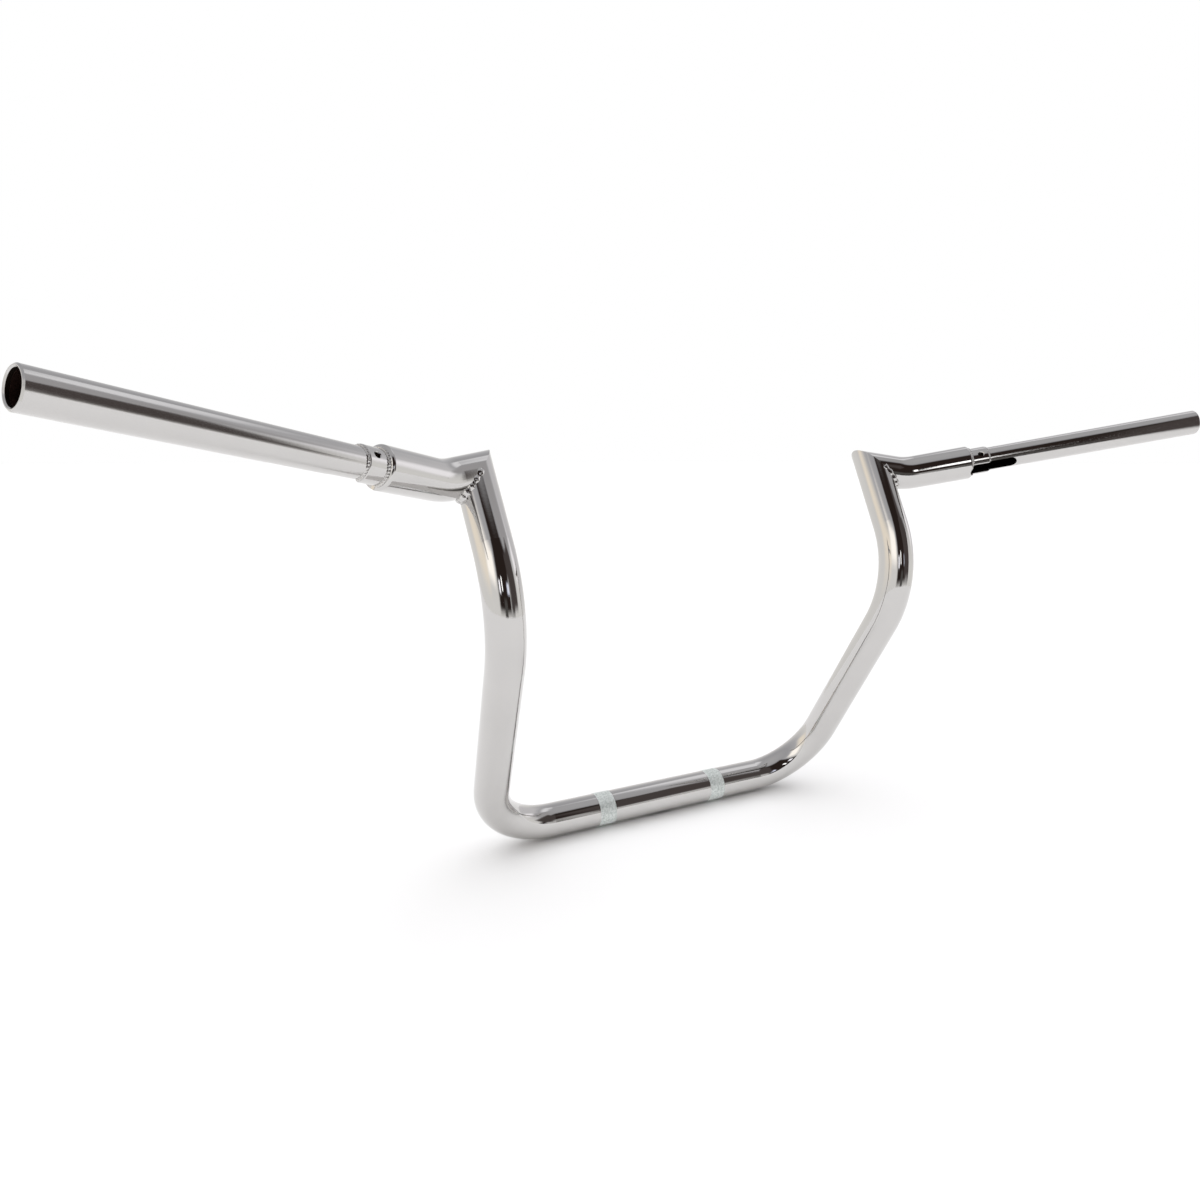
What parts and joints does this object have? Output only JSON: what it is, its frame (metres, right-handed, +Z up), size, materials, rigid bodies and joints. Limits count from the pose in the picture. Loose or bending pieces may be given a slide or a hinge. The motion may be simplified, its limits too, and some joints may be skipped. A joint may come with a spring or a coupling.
{
  "type": "motorcycle handlebar",
  "caption": "Tall one-piece motorcycle handlebar in polished chrome, with bent risers, sharp mitred top corners, stepped-down swept-back grips and knurled clamp bands.",
  "frame": {"origin": "middle of the clamped base tube, on its axis", "axes": "+X along the base tube to the rider's right, +Y forward, +Z up as the bar stands in its clamps"},
  "size_m": [0.9362, 0.2385, 0.4028],
  "materials": {
    "chrome": "polished chrome plate over bent steel tube",
    "chromed_weld": "chrome plate over a dressed weld bead",
    "knurl": "fine diamond knurl, dull silver plate",
    "bore": "unpolished inside of the tubes, darkened by thin plating"
  },
  "bodies": {
    "root": {"main_hoop": "chrome", "right_arm": "chrome", "right_corner_weld": "chromed_weld", "right_collar": "chrome", "right_grip_tube": "chrome", "right_lip_weld": "chromed_weld", "right_collar_weld": "chromed_weld", "left_arm": "chrome", "left_corner_weld": "chromed_weld", "left_collar": "chrome", "left_grip_tube": "chrome", "left_lip_weld": "chromed_weld", "left_collar_weld": "chromed_weld"}
  },
  "joints": []
}
